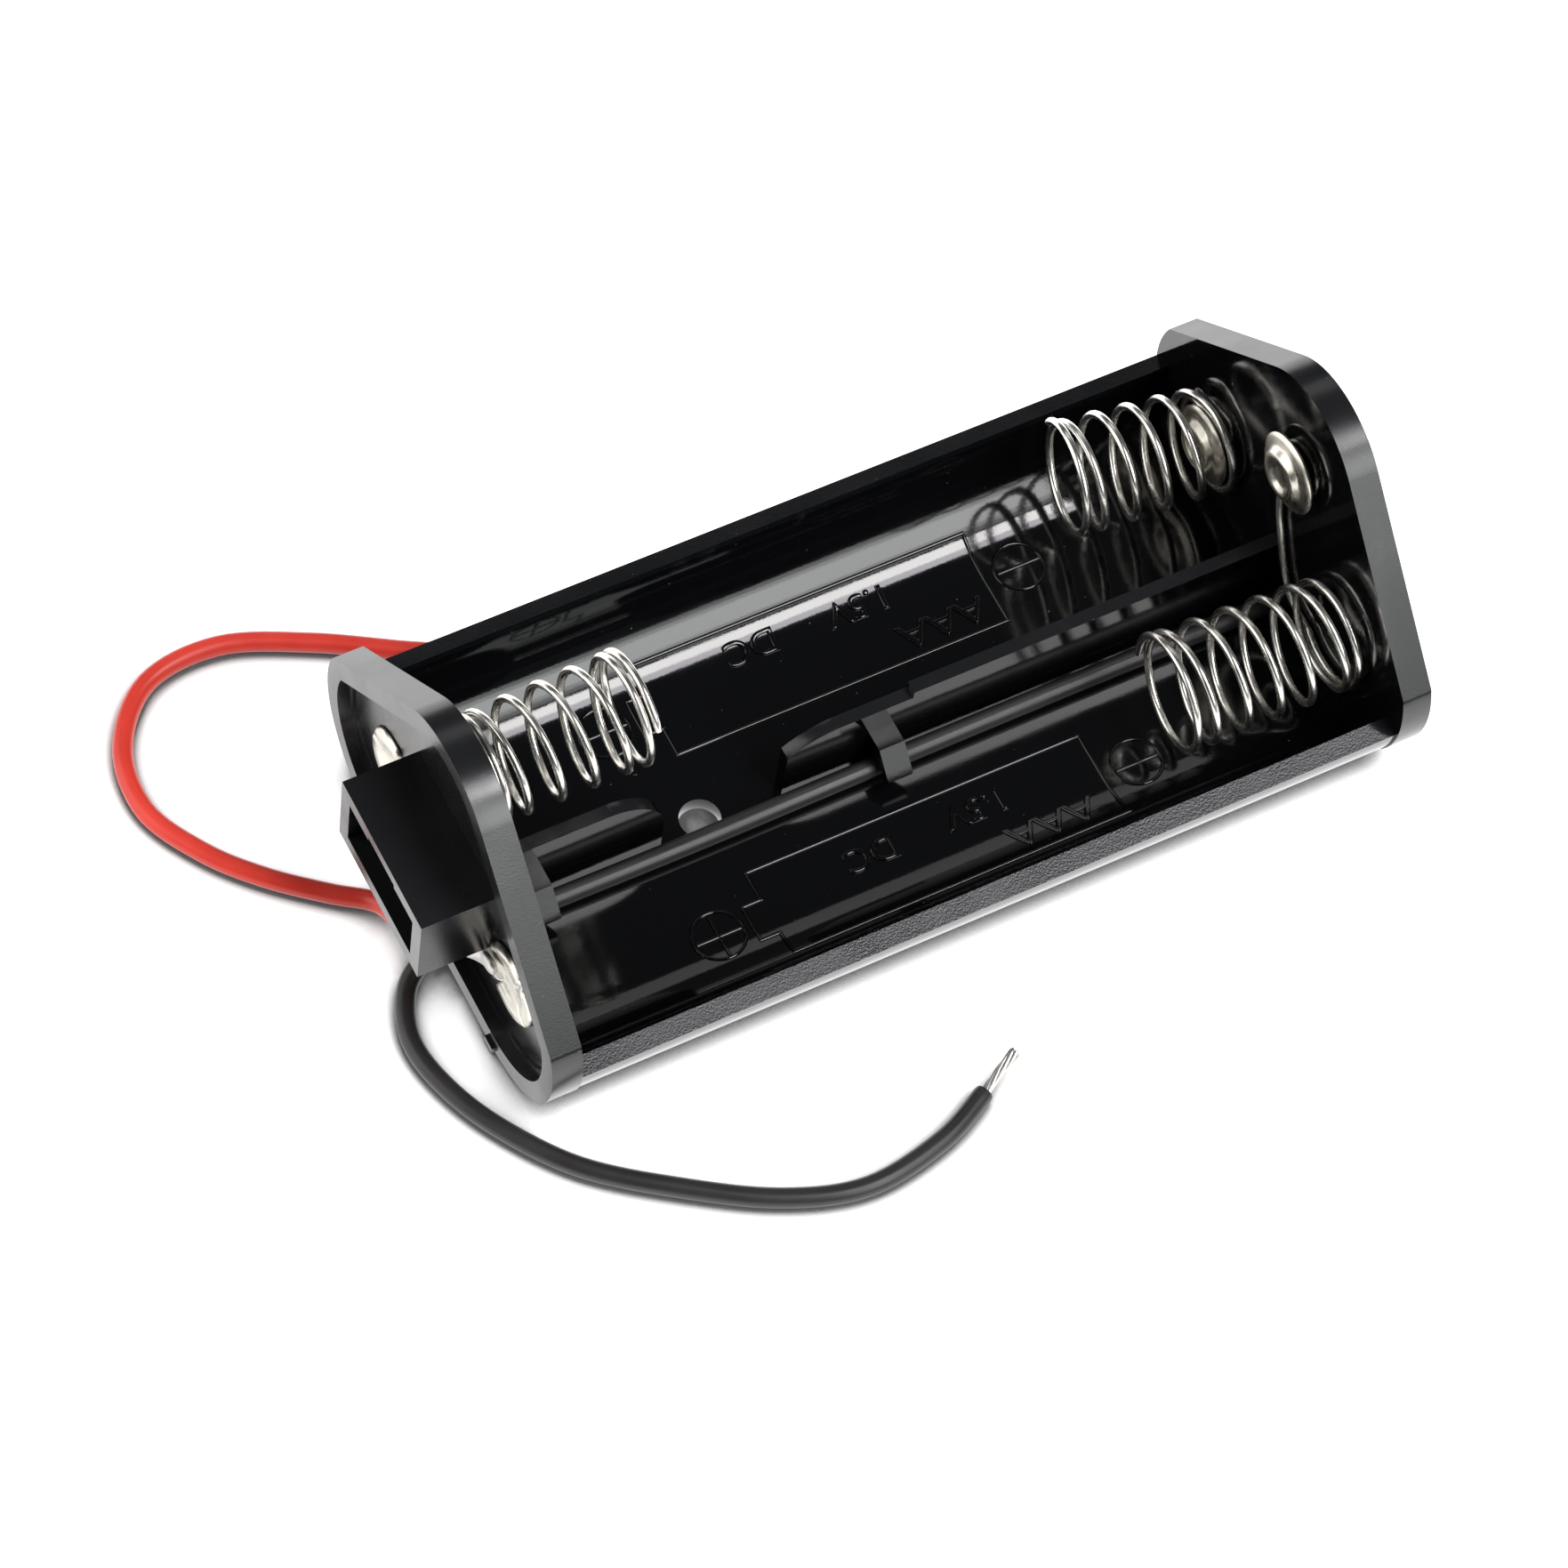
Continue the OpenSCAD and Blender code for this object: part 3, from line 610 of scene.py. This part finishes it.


# %% [markdown]
# ## Black plastic
# The moulding is black ABS, almost all gloss and hardly any colour. One recipe serves its four
# finishes: polished bays, satin plates, rims between the two, and dull outer sides. The outer sides
# also lose nearly all their reflection, which paints them in shade. It has a slow wave from the
# mould's flow, a fine grain, and a few specks of dust.

# %% Black moulding
def black_plastic(name, body, rough_low, rough_high, grain, waves, shine=0.5):
    mat, tree, skin, place = new_material(name)
    fine = noise_node(tree, place, 9000, 2)
    flow = noise_node(tree, place, 260, 4)
    dust = spread(tree, noise_node(tree, place, 3600, 2), 0.765, 0.79, 0, 1)
    tree.links.new(colour_mix(tree, dust, body, (0.12, 0.12, 0.115)), skin.inputs["Base Color"])
    rough = spread(tree, flow, 0.35, 0.7, rough_low, rough_high)
    tree.links.new(rough, skin.inputs["Roughness"])
    skin.inputs["IOR"].default_value = 1.54
    skin.inputs["Specular IOR Level"].default_value = shine
    first = bump(tree, flow, waves, 0.00004)
    tree.links.new(bump(tree, fine, grain, 0.000006, first), skin.inputs["Normal"])
    return mat


plastic = black_plastic("black_plastic", (0.0028, 0.003, 0.0036), 0.06, 0.1, 0.2, 0.25)
satin = black_plastic("black_plastic_satin", (0.012, 0.0125, 0.014), 0.2, 0.3, 0.6, 0.2)
rim_skin = black_plastic("black_plastic_rims", (0.006, 0.0065, 0.0075), 0.09, 0.13, 0.4, 0.05)
# painted shade: shine 0.02 turns the outer sides' reflection almost off, so they stay dark as if the
# floor they face were in shadow; the higher roughness is their real dull finish
dull_painted_shade_side = black_plastic("black_plastic_sides_painted_shade", (0.014, 0.0145, 0.016), 0.34, 0.44, 0.6, 0.2,
                          shine=0.02)

# %% [markdown]
# ## Metals
# The springs are drawn steel wire, bright and smooth. The rivets are nickel-plated and a little
# duller, and the solder is greyer still. All three are one recipe, in which a cloudy noise darkens
# the colour and changes the roughness together, as handling does.

# %% Metals
def metal(name, colour, rough_low, rough_high, grain, grain_strength, shade):
    mat, tree, skin, place = new_material(name)
    skin.inputs["Metallic"].default_value = 1
    cloud = noise_node(tree, place, 500, 4)
    dark = tuple(c * shade for c in colour)
    tree.links.new(colour_mix(tree, spread(tree, cloud, 0.4, 0.6, 0, 1), dark, colour),
                   skin.inputs["Base Color"])
    tree.links.new(spread(tree, cloud, 0.35, 0.65, rough_low, rough_high), skin.inputs["Roughness"])
    tree.links.new(bump(tree, noise_node(tree, place, grain, 3), grain_strength, 0.00002),
                   skin.inputs["Normal"])
    return mat


steel = metal("spring_steel", (0.97, 0.945, 0.89), 0.22, 0.3, 1500, 0.015, 0.93)
nickel = metal("rivet_nickel", (0.8, 0.76, 0.68), 0.22, 0.36, 2200, 0.3, 0.78)
tin = metal("solder_tin", (0.6, 0.58, 0.56), 0.34, 0.5, 1600, 0.4, 0.85)

# %% [markdown]
# ## Insulation
# The leads have a soft vinyl skin. It is duller than the moulding, slightly uneven in colour, and
# has a fine bump, so the highlight along it is broad and soft.

# %% Insulation
def insulation(name, colour, rough):
    mat, tree, skin, place = new_material(name)
    cloud = noise_node(tree, place, 300, 4)
    pale = tuple(min(1, c * 1.12 + 0.004) for c in colour)
    tree.links.new(colour_mix(tree, spread(tree, cloud, 0.35, 0.65, 0, 1), colour, pale),
                   skin.inputs["Base Color"])
    tree.links.new(spread(tree, cloud, 0.3, 0.7, rough - 0.06, rough + 0.06), skin.inputs["Roughness"])
    tree.links.new(bump(tree, noise_node(tree, place, 3500, 3), 0.25, 0.00002), skin.inputs["Normal"])
    return mat


black_skin = insulation("black_insulation", (0.024, 0.022, 0.023), 0.4)
red_skin = insulation("red_insulation", (0.86, 0.055, 0.035), 0.38)


# %% Dress the pieces
def dress(pieces, mat, slot):
    for piece in pieces:
        piece.data.materials.clear()
        piece.data.materials.append(mat)
    print(slot, "on", len(pieces), "pieces")


dress([moulding, marks] + words, plastic, "black_moulding")
dress([spring_a, spring_b, spring_c], steel, "spring_wire")
dress(rivets, nickel, "rivet_metal")
dress([solder_red, solder_black, black_strands, red_strands], tin, "solder")
dress([black_lead], black_skin, "black_insulation")
dress([red_lead], red_skin, "red_insulation")

# %% [markdown]
# ## Polished, satin and dull faces
# A mould is polished where the cells lie and left duller outside; the outer sides' reflection is
# also turned nearly off, which paints them in shade. One piece can carry several materials, and each
# face has the number of its own, so the finish is chosen by where a face lies and which way it looks.
# Splitting the moulding into pieces would show seams that it doesn't have.

# %% Finish of each face
POLISHED, SATIN, RIM, DULL_PAINTED_SHADE = range(4)


def finish(centre, normal):
    """The finish of a face of the moulding, from its centre in millimetres and its direction."""
    if centre.x * normal.x < -0.95 * abs(centre.x) and abs(centre.x) < FACE_RIGHT + 0.1:
        return POLISHED
    if not FACE_LEFT + 0.02 < centre.x < FACE_RIGHT - 0.02:
        return SATIN
    out = math.hypot(abs(centre.y) - 6.85, centre.z - CELL_Z)
    wall = abs(centre.y) > CELL_Y and out > 6.1
    rim = abs(centre.y) > 12 and centre.z > CELL_Z - 0.4
    # outward-facing outer walls: dull finish with its reflection nearly off, a painted shade
    if wall and centre.y * normal.y > 0.35 * abs(centre.y) and out > 7:
        return DULL_PAINTED_SHADE
    if wall or rim or normal.z < -0.5:
        return RIM
    return SATIN if normal.z > 0.6 and centre.z > 3.4 else POLISHED


for mat in (satin, rim_skin, dull_painted_shade_side):
    moulding.data.materials.append(mat)
for face in moulding.data.polygons:
    face.material_index = finish(face.center / MM, face.normal)
numbers = [face.material_index for face in moulding.data.polygons]
print("faces polished, satin, rim, dull:", [numbers.count(k) for k in range(4)])

# %% [markdown]
# ## The floor
# The floor is plain white and matt. On top of its own colour it glows for the camera, where a
# strength of 1 is white, and for mirror-like rays, so that gloss shows a white room. The glow adds
# no light to the object. Close under the pieces, ambient occlusion takes the camera glow away and
# darkens the floor's own colour, which paints a narrow contact shadow.

# %% Floor
bm = bmesh.new()
bmesh.ops.create_grid(bm, x_segments=1, y_segments=1, size=1.2)
mesh = bpy.data.meshes.new("floor")
bm.to_mesh(mesh)
bm.free()
floor = bpy.data.objects.new("floor", mesh)
floor.location.z = -0.00002
bpy.context.scene.collection.objects.link(floor)
print("floor width, m:", round(floor.dimensions.x, 2))


# %% Floor material
def math_node(tree, operation, first, second):
    """A math node on one value and a second value or number."""
    node = tree.nodes.new("ShaderNodeMath")
    node.operation = operation
    tree.links.new(first, node.inputs[0])
    if isinstance(second, (int, float)):
        node.inputs[1].default_value = second
    else:
        tree.links.new(second, node.inputs[1])
    return node.outputs[0]


mat = bpy.data.materials.new("floor_white")
mat.use_nodes = True
tree = mat.node_tree
tree.nodes.clear()
ray = tree.nodes.new("ShaderNodeLightPath")
# painted contact shadow: this ambient occlusion, 2.4 mm deep, dims the camera glow and darkens the
# floor's colour under and beside the pieces
painted_shade_occlusion = tree.nodes.new("ShaderNodeAmbientOcclusion")
painted_shade_occlusion.samples = 8
painted_shade_occlusion.inputs["Distance"].default_value = 0.0024
painted_shade_openness = spread(tree, painted_shade_occlusion.outputs["AO"], 0.5, 0.85, 0.05, 1)
camera_glow_painted_shadow = math_node(tree, "MULTIPLY", ray.outputs["Is Camera Ray"], painted_shade_openness)
mirrored = math_node(tree, "MULTIPLY", ray.outputs["Is Glossy Ray"], 1.1)
matt = tree.nodes.new("ShaderNodeBsdfDiffuse")
# painted shade: the floor's colour darkens from 0.8 towards 0.05 where the pieces are close
tree.links.new(colour_mix(tree, painted_shade_openness, (0.05, 0.05, 0.05), (0.8, 0.8, 0.8)), matt.inputs["Color"])
glow = tree.nodes.new("ShaderNodeEmission")
tree.links.new(math_node(tree, "MAXIMUM", camera_glow_painted_shadow, mirrored), glow.inputs["Strength"])
both = tree.nodes.new("ShaderNodeAddShader")
tree.links.new(matt.outputs[0], both.inputs[0])
tree.links.new(glow.outputs[0], both.inputs[1])
out = tree.nodes.new("ShaderNodeOutputMaterial")
tree.links.new(both.outputs[0], out.inputs["Surface"])
floor.data.materials.append(mat)

# %% [markdown]
# ## Light
# Black gloss has almost no colour of its own: it shows the lamps. Each round wall mirrors a lamp as
# a band along the bay. A strip overhead with a softer edge draws the narrow white band, and three
# panels of growing width, one behind another, stand in front and draw a broad band that fades at
# both edges. A weak panel behind and one on the left lift the rims and the plates.

# %% World
world = bpy.data.worlds.new("room")
world.use_nodes = True
bpy.context.scene.world = world
backdrop = world.node_tree.nodes["Background"]
backdrop.inputs["Color"].default_value = (0.92, 0.96, 1.0, 1)
backdrop.inputs["Strength"].default_value = 0.06
print("world strength:", round(backdrop.inputs["Strength"].default_value, 3))


# %% Lamps
def lamp(name, towards, distance, size_x, size_y, radiance, colour=(1, 1, 1)):
    """An area lamp in that direction from the holder, facing it. Its long side lies along X."""
    towards = Vector(towards).normalized()
    data = bpy.data.lights.new(name, "AREA")
    data.shape = "RECTANGLE"
    data.size, data.size_y = size_x, size_y
    data.color = colour
    data.energy = radiance * math.pi * size_x * size_y
    obj = bpy.data.objects.new(name, data)
    across = (Vector((1, 0, 0)) - towards.x * towards).normalized()
    turn = Matrix((across, towards.cross(across), towards)).transposed().to_4x4()
    obj.matrix_world = Matrix.Translation(towards * distance + Vector((0, 0, 0.008))) @ turn
    bpy.context.scene.collection.objects.link(obj)
    print(name, "power, W:", round(data.energy, 3))


lamp("strip", (0.29, -0.383, 0.877), 0.7, 0.24, 0.12, 17.0, (1.0, 0.985, 0.975))
lamp("strip_soft", (0.29, -0.245, 0.925), 0.7, 0.24, 0.088, 9.5, (0.97, 0.95, 1.0))
for k, width in enumerate((0.6, 0.44, 0.3)):
    lamp(f"front_wall_{k}", (0.29, -0.74, 0.605), 0.9 - 0.01 * k, 0.46 - 0.04 * k, width, 2.4,
         (0.98, 1.0, 0.99))
lamp("back_low", (0.29, 0.72, 0.63), 0.9, 0.7, 0.25, 0.8)
lamp("left_wall", (-0.80, 0.35, 0.45), 0.9, 0.9, 0.9, 2.0, (1.0, 0.985, 0.95))

# %% View settings
bpy.context.scene.view_settings.view_transform = "Standard"
print("view transform:", bpy.context.scene.view_settings.view_transform)
